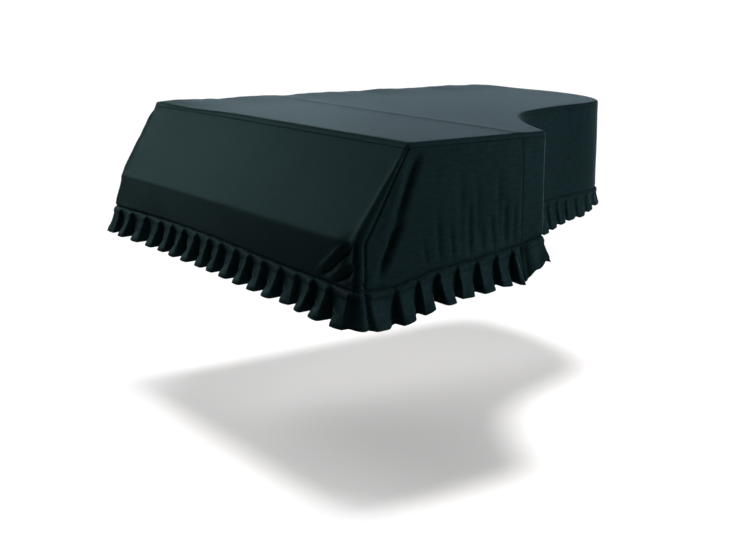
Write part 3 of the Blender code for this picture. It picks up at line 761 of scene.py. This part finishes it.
def flat_seam(distance, depth):
    """How far cloth lies below its face at a distance from an upright rear seam."""
    groove = STITCH_GROOVE * math.exp(-((distance - STITCH_OFF) / GROOVE_WIDTH) ** 2)
    fade = 1.0 - smooth((depth - GROOVE_END) / GROOVE_FADE)
    return turned_in(distance, FLAT_DIP) + groove * fade


def upright_row(across):
    """The way of a row of stitches down an upright seam, as far as the lower third."""
    return [(across, -step / ROW_STEPS) for step in range(ROW_START, ROW_END)]


def side_place(side, last_back, folds, table, across, down):
    """World place and spot on the weave of a panel beside the lid, across it and down it."""
    corner = corner_seam_back(table[0].seam)
    foot = read_hang(table, corner + across * (last_back - corner)).seam
    depth = PANEL_TOP + (foot - PANEL_TOP) * down
    first = corner_seam_back(depth) + SEAM_GAP / 2
    last = last_back - SEAM_GAP / 2
    back = first + across * (last - first)
    to_front = back - first
    to_rear = last - back
    to_top = depth - PANEL_TOP
    to_foot = foot - depth
    stand = fold_height(folds, back, depth)
    for share, clear in zip((across, 1 - across, down), FOLD_MARGINS):
        stand *= smooth(share / clear)
    stand *= FOLD_HELD + (1 - FOLD_HELD) * smooth((1 - down) / HELD_FROM)
    stand += puckers(back, to_top, 21.0 + side) + puckers(back, to_foot, 24.0 + side)
    stand += puckers(depth, to_front, 27.0 + side) + puckers(depth, to_rear, 30.0 + side)
    nearest = min(to_top, to_foot, to_front, to_rear)
    stand += swell(back, depth, 33.0 + side) * smooth(nearest / SEAM_CLEAR)
    stand -= max(turned_in(min(to_foot, to_front)), turned_in(to_top, EDGE_DIP),
                 flat_seam(to_rear, depth))
    return place_on_lid((side * (HALF_WIDTH + stand), back), depth), Vector((back, depth))


def treble_place(across, down):
    return side_place(1, SIDE_SEAM_BACK, TREBLE_FOLDS, TREBLE_HANG, across, down)


def spine_place(across, down):
    return side_place(-1, SPINE_SEAM_BACK, SPINE_FOLDS, SPINE_HANG, across, down)


treble_panel = hang_panel("treble_panel", lines_between_seams(TREBLE_RUN, TREBLE_LINE_SPACING),
                          lines_between_seams(TREBLE_DROP, FOLD_LINE_SPACING), treble_place)
seam_row = sew("treble_seam_row", lambda across, up: treble_place(across, -up)[0],
               [upright_row(1.0 - STITCH_OFF / TREBLE_RUN)])

spine_panel = hang_panel("spine_panel", lines_between_seams(SPINE_RUN, SPINE_LINE_SPACING),
                         lines_between_seams(SPINE_DROP), spine_place)


# ---- Tail panel ------------------------------------------------------------------
# One long strip follows the bend, the curved side and the round tail, and meets the
# treble panel and the spine panel in upright seams.
TAIL_STRETCHES = (2, 3, 4, 6, 4, 6, 5, 3, 5, 1)  # how much of the table each stretch takes
TAIL_DROP = 0.31               # of cloth, from seam to seam
TAIL_LINE_SPACING = 0.009
TAIL_HANG = (
    Hang(0.00, 0.325, 0.104, 0.024),
    Hang(0.03, 0.312, 0.082, 0.026),
    Hang(0.06, 0.303, 0.058, 0.026),
    Hang(0.22, 0.320, 0.108, 0.022),
    Hang(0.38, 0.326, 0.115, 0.022),
    Hang(0.50, 0.325, 0.082, 0.016),
    Hang(0.60, 0.324, 0.060, 0.008),
    Hang(0.80, 0.322, 0.092, 0.020),
    Hang(1.00, 0.322, 0.098, 0.022),
)

# A place on the way round the tail: the real distance along the seam, plan point,
# outward way, and the share of the Hang table
Station = namedtuple("Station", "distance point outward share")


def tail_stations():
    """Places close together along the tail, from the treble seam round to the spine seam."""
    stations = []
    done = 0
    distance = 0.0
    for number, weight in enumerate(TAIL_STRETCHES):
        stretch = outline_from(SIDE_SEAM_TURN + number, SIDE_SEAM_TURN + number + 1)
        for step, (edge, following) in enumerate(zip(stretch, stretch[1:])):
            share = (done + weight * step / (len(stretch) - 1)) / sum(TAIL_STRETCHES)
            stations.append(Station(distance, edge.point, edge.outward, share))
            distance += (following.point - edge.point).length
        done += weight
    stations.append(Station(distance, stretch[-1].point, stretch[-1].outward, 1.0))
    return stations


tail_way = tail_stations()
tail_length = tail_way[-1].distance


def station_at(distance):
    """The place on the way round the tail at a distance along its seam."""
    low, high, part = rows_around(tail_way, distance)
    return Station(distance, low.point.lerp(high.point, part),
                   low.outward.lerp(high.outward, part).normalized(),
                   low.share + (high.share - low.share) * part)


def tail_place(across, down):
    """World place and spot on the weave of the tail panel, along it and down it."""
    station = station_at(SEAM_GAP / 2 + across * (tail_length - SEAM_GAP))
    foot = read_hang(TAIL_HANG, station.share).seam
    depth = PANEL_TOP + (foot - PANEL_TOP) * down
    to_end = min(station.distance, tail_length - station.distance)
    to_top = depth - PANEL_TOP
    to_foot = foot - depth
    stand = puckers(station.distance, to_top, 41.0) + puckers(station.distance, to_foot, 42.0)
    stand += puckers(depth, to_end, 43.0)
    nearest = min(to_end, to_top, to_foot)
    stand += swell(station.distance, depth, 44.0) * smooth(nearest / SEAM_CLEAR)
    stand -= max(turned_in(to_foot), turned_in(to_top, EDGE_DIP), flat_seam(to_end, depth))
    spot = Vector((station.distance, depth))
    return place_on_lid(station.point + station.outward * stand, depth), spot


tail_panel = hang_panel("tail_panel", lines_between_seams(tail_length, TAIL_LINE_SPACING),
                        lines_between_seams(TAIL_DROP), tail_place)
seam_rows = sew("tail_seam_rows", lambda across, up: tail_place(across, -up)[0],
                [upright_row(STITCH_OFF / tail_length), upright_row(1.0 - STITCH_OFF / tail_length)])


# ---- Gathered frill ----------------------------------------------------------------
# A strip, on the front and the treble side about one and a half times as long as its seam,
# is gathered into it. Each fold climbs evenly from its valley to its crest and falls back
# steeply towards the treble corner; at the hem, which is turned up, the crest rounds out.
STRIP_DROP = 0.1               # about how far a strip hangs below its seam
RIDGE_COLUMNS = 40             # of the grid, for each fold
HEAD_LEVELS = (0.0, 0.004, 0.015, 0.035, 0.06, 0.09, 0.13)  # shares of the strip's drop
FRILL_ROWS = 22                # between the gathered head and the hem
HEM_LEVELS = (0.83, 0.845, 0.86, 0.90, 0.95, 1.0)
RIDGE_TURN = 0.25              # from the start of a fold to its ridge
GATHERED = 0.03                # share of the drop that the gathers hold shut
CREST_AT = 0.86                # share of a fold's width from its valley to its crest
CREST_ROUND = 0.06
CREST_LEAN = 0.08              # share of a fold's width from its ridge to its crest
CLIMB_POWER = 1.3              # steeper near the crest
ROUND_FROM = 0.55              # how far a fold has opened where its crest begins to round out
ROUND_RUN = 0.40
HEM_CLIMB = 0.45               # share of a fold's width, from its valley to its rounded crest
HEM_CREST_MIDDLE = 0.65
HEM_CREST_FLAT = 0.08
OVERHANG = 0.035               # share of a fold's width by which its crest leans over
OVERHANG_TURN = 0.17
VALLEY_DEPTH = 1.1             # at the hem, in half depths of the fold
RIDGE_HEIGHT = 1.2
VALLEY_OPENING = 1.4           # powers: a valley opens late, and a ridge early
FLARE_OPENING = 0.9
RIDGE_OPENING = 0.95
VALLEY_BELLY = 0.003
UNEVEN_HEM = 0.0022            # unevenness of the hem's level, of the folds and of their lean
UNEVEN_FOLDS = 0.003
UNEVEN_LEAN = 0.008
HEAD_PUFF = 0.0045             # the gathers swell just under the seam
HEAD_DROP = 0.012
SMALL_GATHERS = 0.011          # width of the small gathers between the folds
SMALL_GATHER_HEIGHT = 0.0008
SMALL_GATHER_FADE = 0.22       # share of the drop
HEM_SCALLOP = 0.02             # share of the drop by which crests hang lower
HEM_AT = 0.85                  # level of the top of the hem
HEM_STITCH_AT = 0.862
HEM_STEPS = 160                # for each fold, to find the places of the stitches
HEM_THICKNESS = 0.0006
LINES_AT_END = (0.0005, 0.002, 0.004)
END_FLAT = 0.014               # the ends of a strip lie flat where two strips meet
WIDTH_DRIFT = 23.0             # radians along a strip, as the widths of its folds drift

# Where each ridge of the frill is along its strip, and half its depth at the hem
Ridge = namedtuple("Ridge", "along half_depth")
FRONT_RIDGES = (
    Ridge(-0.691, 0.007), Ridge(-0.613, 0.018), Ridge(-0.523, 0.016), Ridge(-0.429, 0.018),
    Ridge(-0.345, 0.016), Ridge(-0.260, 0.020), Ridge(-0.169, 0.019), Ridge(-0.079, 0.016),
    Ridge(-0.003, 0.015), Ridge(0.093, 0.018), Ridge(0.178, 0.019), Ridge(0.261, 0.016),
    Ridge(0.357, 0.019), Ridge(0.446, 0.007), Ridge(0.531, 0.020), Ridge(0.613, 0.022),
    Ridge(0.712, 0.008),
)
TREBLE_RIDGES = (
    Ridge(-0.125, 0.010), Ridge(-0.021, 0.016), Ridge(0.048, 0.013), Ridge(0.114, 0.024),
    Ridge(0.184, 0.010), Ridge(0.256, 0.017), Ridge(0.326, 0.012), Ridge(0.385, 0.018),
)

# The other two strips have even folds, whose widths differ by a share of a fold
TAIL_FOLDS = 33
TAIL_UNEVEN = 0.25
TAIL_RIDGE = 0.003             # half depth of its folds, which grows along the bend
TAIL_RIDGE_GROWTH = 0.0015
TAIL_BEND_END = 0.30
SPINE_FRILL_FOLDS = 18
SPINE_UNEVEN = 0.15
SPINE_RIDGE = 0.013


def even_places(first, last, folds, uneven):
    """Places for the ridges of folds from one end to the other, whose widths differ a little."""
    places = []
    for number in range(folds):
        part = (number + 0.5) / folds
        drift = uneven / folds * (math.sin(part * WIDTH_DRIFT) - math.sin(WIDTH_DRIFT) * part)
        places.append(first + (last - first) * (part + drift))
    return places


# A place on the seam that a frill hangs from, the way out from it, and its Hang row
SeamPlace = namedtuple("SeamPlace", "point outward hang")


def fold_lines(ridges, first, last):
    """Turns, place along the seam and half depth, for each ridge of the folds and both ends."""
    lines = [(0.0, first, ridges[0].half_depth)]
    lines += [(number + RIDGE_TURN, *ridge) for number, ridge in enumerate(ridges)]
    lines.append((float(len(ridges)), last, ridges[-1].half_depth))
    return lines


def fold_crest(turn, opened):
    """From 0 in a valley to 1 on a crest, by the turns from the ridge and how far the fold opened."""
    rounded = smooth((opened - ROUND_FROM) / ROUND_RUN)
    part = (turn - CREST_LEAN + CREST_AT) % 1.0
    if part > CREST_AT:
        fall = smooth((part - CREST_AT) / (1.0 - CREST_AT))
        return (1.0 - HEM_CREST_FLAT * rounded) * (1.0 - fall)
    flank = 1.0 + CREST_ROUND - math.hypot(1.0 - (part / CREST_AT) ** CLIMB_POWER, CREST_ROUND)
    from_middle = (part - HEM_CREST_MIDDLE) / (CREST_AT - HEM_CREST_MIDDLE)
    bulge = smooth(part / HEM_CLIMB) * (1.0 - HEM_CREST_FLAT * from_middle ** 2)
    return flank + (bulge - flank) * rounded


def frill(name, ridges, first, last, seam_place, seed, steep_side=1):
    """A gathered strip. seam_place gives the SeamPlace at a place along the panel's lower edge."""
    lines = fold_lines(ridges, first, last)
    all_turns = [number / RIDGE_COLUMNS for number in range(len(ridges) * RIDGE_COLUMNS + 1)]
    for distance in LINES_AT_END:
        all_turns.append(RIDGE_TURN * distance / abs(ridges[0].along - first))
        all_turns.append(len(ridges) - (1 - RIDGE_TURN) * distance / abs(last - ridges[-1].along))
    all_turns.sort()
    columns = len(all_turns) - 1
    head, foot = HEAD_LEVELS[-1], HEM_LEVELS[0]
    levels = list(HEAD_LEVELS)
    levels += [head + (foot - head) * number / FRILL_ROWS for number in range(1, FRILL_ROWS)]
    levels += HEM_LEVELS
    rows = len(levels) - 1
    overhang = steep_side * OVERHANG * abs(last - first) / len(ridges)

    def spot(turns, level):
        """World place on the strip, from its seam at level 0 to its hem at level 1."""
        low, high, part = rows_around(lines, turns)
        along = low[1] + (high[1] - low[1]) * part
        half_depth = low[2] + (high[2] - low[2]) * part
        seam = seam_place(along)
        hang = seam.hang
        to_end = min(abs(along - first), abs(last - along))
        flat = smooth((to_end - LINES_AT_END[-1]) / END_FLAT)
        opened = max(level - GATHERED, 0.0) / (1 - GATHERED)
        turn = steep_side * (turns - RIDGE_TURN)
        crest = fold_crest(turn, opened)
        drop = hang.drop * level * (1.0 + HEM_SCALLOP * (2 * crest - 1) * opened * flat)
        drop += UNEVEN_HEM * waver(turns * 1.7, seed, 9.0) * opened
        crest = flat * crest + (1 - flat) * 0.5
        valley = (hang.flare - VALLEY_DEPTH * half_depth) * opened ** VALLEY_OPENING
        valley -= VALLEY_BELLY * math.sin(math.pi * opened)
        ridge = hang.flare * opened ** FLARE_OPENING
        ridge += RIDGE_HEIGHT * half_depth * opened ** RIDGE_OPENING
        stand = valley + (ridge - valley) * crest
        puff = HEAD_PUFF * math.sin(math.pi * min(level * hang.drop / HEAD_DROP / 2, 1.0)) ** 0.8
        stand += puff * (0.5 + 0.5 * crest) * flat
        small = math.sin(along / SMALL_GATHERS * 2 * math.pi + 3.0 * waver(along * 14.0, seed, 0.0))
        small *= math.exp(-level / SMALL_GATHER_FADE) * smooth(level / 0.04)
        stand += SMALL_GATHER_HEIGHT * small * flat
        stand += UNEVEN_FOLDS * waver(turns * 2.1, level * 1.6, seed) * opened * flat
        stand += HEM_THICKNESS * smooth((level - HEM_AT + 0.01) / 0.02)
        stand -= turned_in(min(level * hang.drop, to_end))
        along_way = Vector((-seam.outward.y, seam.outward.x, 0.0))
        lean = overhang * math.sin(2 * math.pi * (turn + OVERHANG_TURN))
        lean += UNEVEN_LEAN * waver(turns * 0.93, level * 1.3, seed + 5.0)
        return (seam.point + seam.outward * stand + along_way * lean * opened * flat
                - Vector((0.0, 0.0, SEAM_GAP + drop)))

    sheet = bmesh.new()
    bmesh.ops.create_grid(sheet, x_segments=columns, y_segments=rows, size=0.5)
    hem_line = {}
    spots = {}
    for vert in sheet.verts:
        column = round((vert.co.x + 0.5) * columns)
        level = levels[round((0.5 - vert.co.y) * rows)]
        vert.co = spot(all_turns[column], level)
        spots[vert] = Vector((column, level * seam_place(first).hang.drop))
        if level == 1.0:
            hem_line[column] = vert.co.copy()
    run = [0.0]
    for column in range(columns):
        run.append(run[-1] + (hem_line[column + 1] - hem_line[column]).length)
    for place in spots.values():
        place.x = run[round(place.x)]
    piece = finish_cloth(name, sheet, spots)
    hem_turns = [number / HEM_STEPS for number in range(1, len(ridges) * HEM_STEPS)]
    hem = sew(f"{name}_hem_stitches", lambda turns, up: spot(turns, -up / STRIP_DROP),
              [[(turns, -HEM_STITCH_AT * STRIP_DROP) for turns in hem_turns]])
    return piece, hem


def front_seam(along):
    """The lower edge of the front panel, by distance from its middle."""
    hang = read_hang(FRONT_HANG, along)
    point, outward = front_plan(along, hang.seam)
    return SeamPlace(place_on_lid(point, hang.seam), outward.to_3d(), hang)


def side_seam(side, table, along):
    """The lower edge of a panel beside the lid, by distance back from the lid's front."""
    hang = read_hang(table, along)
    point = place_on_lid((side * HALF_WIDTH, along), hang.seam)
    return SeamPlace(point, Vector((side, 0.0, 0.0)), hang)


def treble_seam(along):
    return side_seam(1, TREBLE_HANG, along)


def spine_seam(along):
    return side_seam(-1, SPINE_HANG, along)


def tail_seam(along):
    """The lower edge of the tail panel, by distance from its treble end."""
    station = station_at(along)
    hang = read_hang(TAIL_HANG, station.share)
    return SeamPlace(place_on_lid(station.point, hang.seam), station.outward.to_3d(), hang)


front_end = front_half(FRONT_HANG[-1].seam)
frill_front, front_hem = frill("frill_front", FRONT_RIDGES, -front_end, front_end, front_seam, 60.0)

treble_start = corner_seam_back(TREBLE_HANG[0].seam) + SEAM_GAP / 2
frill_treble, treble_hem = frill("frill_treble", TREBLE_RIDGES, treble_start,
                                 SIDE_SEAM_BACK - SEAM_GAP / 2, treble_seam, 61.0, -1)

tail_ridges = [Ridge(place, TAIL_RIDGE + TAIL_RIDGE_GROWTH * smooth(place / TAIL_BEND_END))
               for place in even_places(0.0, tail_length, TAIL_FOLDS, TAIL_UNEVEN)]
frill_tail, tail_hem = frill("frill_tail", tail_ridges, SEAM_GAP / 2, tail_length - SEAM_GAP / 2,
                             tail_seam, 62.0, -1)

spine_ridges = [Ridge(place, SPINE_RIDGE)
                for place in even_places(SPINE_SEAM_BACK, treble_start, SPINE_FRILL_FOLDS, SPINE_UNEVEN)]
frill_spine, spine_hem = frill("frill_spine", spine_ridges, SPINE_SEAM_BACK - SEAM_GAP / 2,
                               treble_start, spine_seam, 63.0)


# ---- Studio ------------------------------------------------------------------------
# A plain pale floor that fades into a white backdrop, and soft lamps. The cover hangs as
# high as it does on a piano, with the middle of its cloth about 1.04 m above the floor.
FLOOR_DROP = 1.036
FLOOR_RADIUS = 1.9
FLOOR_MIDDLE = Vector((0.0, 0.0, -FLOOR_DROP))
WHITE = (1.0, 1.0, 1.0, 1.0)
BLACK = (0.0, 0.0, 0.0, 1.0)
FLOOR_PAINT = "d3d2d2"
FLOOR_PAINT_WORN = "d6d5d4"
FADE_START = 0.85              # how far from the middle the floor begins to glow
FADE_END = 1.25

floor_mesh = bpy.data.meshes.new("floor")
sheet = bmesh.new()
bmesh.ops.create_circle(sheet, cap_ends=True, segments=96, radius=FLOOR_RADIUS)
bmesh.ops.translate(sheet, verts=sheet.verts, vec=FLOOR_MIDDLE)
sheet.to_mesh(floor_mesh)
sheet.free()
floor_paint, floor_tree, floor_shader = new_material("matt floor paint")
floor_place = add_node(floor_tree, "ShaderNodeTexCoord")
mottle = add_node(floor_tree, "ShaderNodeTexNoise", {}, {"Scale": 1.5, "Detail": 2.0},
                  {"Vector": floor_place.outputs["Object"]})
tone = add_node(floor_tree, "ShaderNodeMix", {"data_type": "RGBA"},
                {6: linear(FLOOR_PAINT), 7: linear(FLOOR_PAINT_WORN)}, {0: mottle.outputs["Fac"]})
away = add_node(floor_tree, "ShaderNodeVectorMath", {"operation": "DISTANCE"},
                {1: FLOOR_MIDDLE}, {0: floor_place.outputs["Object"]})
fade = add_node(floor_tree, "ShaderNodeMapRange", {"interpolation_type": "SMOOTHSTEP"},
                {"From Min": FADE_START, "From Max": FADE_END}, {"Value": away.outputs["Value"]})
faded = add_node(floor_tree, "ShaderNodeMix", {"data_type": "RGBA"}, {7: BLACK},
                 {0: fade.outputs["Result"], 6: tone.outputs[2]})
feed(floor_tree, floor_shader,
     {"Emission Color": WHITE, "Roughness": 0.95, "Specular IOR Level": 0.1},
     {"Base Color": faded.outputs[2], "Emission Strength": fade.outputs["Result"]})
floor_mesh.materials.append(floor_paint)
floor = bpy.data.objects.new("floor", floor_mesh)
bpy.context.scene.collection.objects.link(floor)

# The backdrop lights the cover from behind, up to the height of the eye, and the rest of the
# room gives it little light. Seen directly, the whole room is plain white.
SEEN_WHITE = 1.05
BACKDROP_GLOW = 1.12
BACKDROP_WAY = (-0.79, 0.61, 0.0)
ROOM_SHARE = 0.12
world = bpy.data.worlds.new("dim room with a white backdrop")
bpy.context.scene.world = world
world.use_nodes = True
room = world.node_tree
way = add_node(room, "ShaderNodeTexCoord")
height = add_node(room, "ShaderNodeSeparateXYZ", {}, {}, {0: way.outputs["Generated"]})
glow = add_node(room, "ShaderNodeMapRange", {"interpolation_type": "SMOOTHSTEP"},
                {"From Min": 0.10, "From Max": 0.32, "To Min": BACKDROP_GLOW, "To Max": 0.0},
                {"Value": height.outputs["Z"]})
ahead = add_node(room, "ShaderNodeVectorMath", {"operation": "DOT_PRODUCT"}, {1: BACKDROP_WAY},
                 {0: way.outputs["Generated"]})
width = add_node(room, "ShaderNodeMapRange", {"interpolation_type": "SMOOTHSTEP"},
                 {"From Min": 0.20, "From Max": 0.80, "To Min": ROOM_SHARE, "To Max": 1.0},
                 {"Value": ahead.outputs["Value"]})
strength = add_node(room, "ShaderNodeMath", {"operation": "MULTIPLY"}, {},
                    {0: glow.outputs["Result"], 1: width.outputs["Result"]})
seen = add_node(room, "ShaderNodeMix", {"data_type": "FLOAT"}, {3: SEEN_WHITE},
                {0: add_node(room, "ShaderNodeLightPath").outputs["Is Camera Ray"],
                 2: strength.outputs["Value"]})
feed(room, room.nodes["Background"], {"Color": WHITE}, {"Strength": seen.outputs[0]})

# A sun that is as wide as a bank of lamps, in W/m2 and degrees, and softboxes in W and m
Lamp = namedtuple("Lamp", "name kind place aim energy size")
LAMPS = (
    Lamp("overhead light", "SUN", (0.1, 0.0, 4.0), (0.0, 0.0, 0.0), 3.8, 24.0),
    Lamp("left softbox", "AREA", (-2.5, -1.15, 0.45), (-0.5, -0.75, -0.15), 20.0, 1.0),
    Lamp("rear left softbox", "AREA", (-2.8, 0.9, 1.3), (-0.4, -0.2, 0.0), 23.0, 1.2),
    Lamp("far left softbox", "AREA", (-6.5, -3.2, 3.3), (0.0, -0.75, -0.15), 420.0, 3.0),
    Lamp("low left softbox", "AREA", (-2.6, -1.7, -0.6), (-0.6, -0.83, -0.3), 9.0, 0.6),
    Lamp("right softbox", "AREA", (2.6, 1.6, 0.5), (0.7, 0.0, -0.2), 122.0, 1.5),
    Lamp("low right softbox", "AREA", (2.8, 1.8, -0.35), (0.7, 0.0, -0.15), 50.0, 0.6),
)
for lamp in LAMPS:
    light = bpy.data.lights.new(lamp.name, lamp.kind)
    light.energy = lamp.energy
    if lamp.kind == "SUN":
        light.angle = math.radians(lamp.size)
    else:
        light.size = lamp.size
    holder = bpy.data.objects.new(lamp.name, light)
    holder.location = lamp.place
    holder.rotation_euler = (Vector(lamp.aim) - Vector(lamp.place)).to_track_quat("-Z", "Y").to_euler()
    bpy.context.scene.collection.objects.link(holder)

# The camera stands to the right of the keyboard and looks down a little
CAMERA_PLACE = (3.296, -2.568, 0.394)
CAMERA_DOWN = 10.439           # degrees below level
CAMERA_TURN = 55.16            # degrees, from a look along the piano to its left
FOCAL_LENGTH = 59.32           # mm
FRAME_SHIFT = -0.0819
lens = bpy.data.cameras.new("camera")
lens.sensor_width = 36.0
lens.lens = FOCAL_LENGTH
lens.shift_y = FRAME_SHIFT
camera = bpy.data.objects.new("camera", lens)
camera.location = CAMERA_PLACE
camera.rotation_euler = (math.radians(90 - CAMERA_DOWN), 0.0, math.radians(CAMERA_TURN))
bpy.context.scene.collection.objects.link(camera)
bpy.context.scene.camera = camera
bpy.context.scene.view_settings.view_transform = "Standard"
